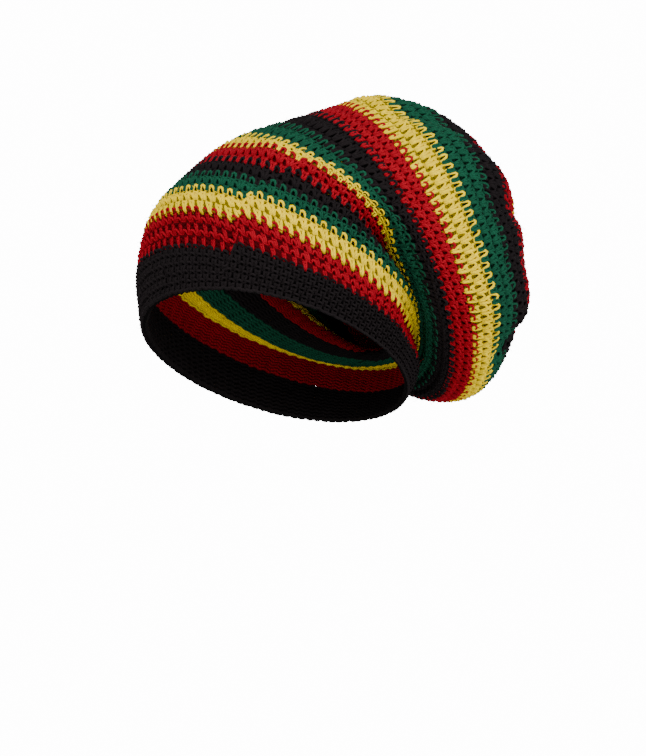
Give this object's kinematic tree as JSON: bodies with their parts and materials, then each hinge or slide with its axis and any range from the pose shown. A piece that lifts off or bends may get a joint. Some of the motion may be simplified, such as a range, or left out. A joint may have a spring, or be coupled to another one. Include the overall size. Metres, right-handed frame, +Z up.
{
  "type": "crocheted tam",
  "caption": "Slouched tam crocheted in the round: a dense black rim band, then red, yellow, green and black stripes up to a bag that hangs back and to the wearer's left.",
  "frame": {"origin": "centre of the head opening, in the plane of the rim", "axes": "+Z up on an upright head; -Y is the hat's front; +X is the wearer's left, the side that the bag hangs to"},
  "size_m": [0.2523, 0.2794, 0.2221],
  "materials": {
    "black_yarn": "matte crocheted acrylic yarn, black",
    "red_yarn": "matte crocheted acrylic yarn, deep red",
    "yellow_yarn": "matte crocheted acrylic yarn, bright yellow",
    "green_yarn": "matte crocheted acrylic yarn, bottle green"
  },
  "bodies": {
    "root": {"head_band": "black_yarn", "red_1": "red_yarn", "yellow_1": "yellow_yarn", "green_1": "green_yarn", "black_1": "black_yarn", "red_2": "red_yarn", "yellow_2": "yellow_yarn", "green_2": "green_yarn", "black_2": "black_yarn", "red_3": "red_yarn", "yellow_3": "yellow_yarn", "green_3": "green_yarn", "black_3": "black_yarn", "red_4": "red_yarn", "yellow_4": "yellow_yarn", "green_4": "green_yarn", "crown_centre": "black_yarn"}
  },
  "joints": []
}
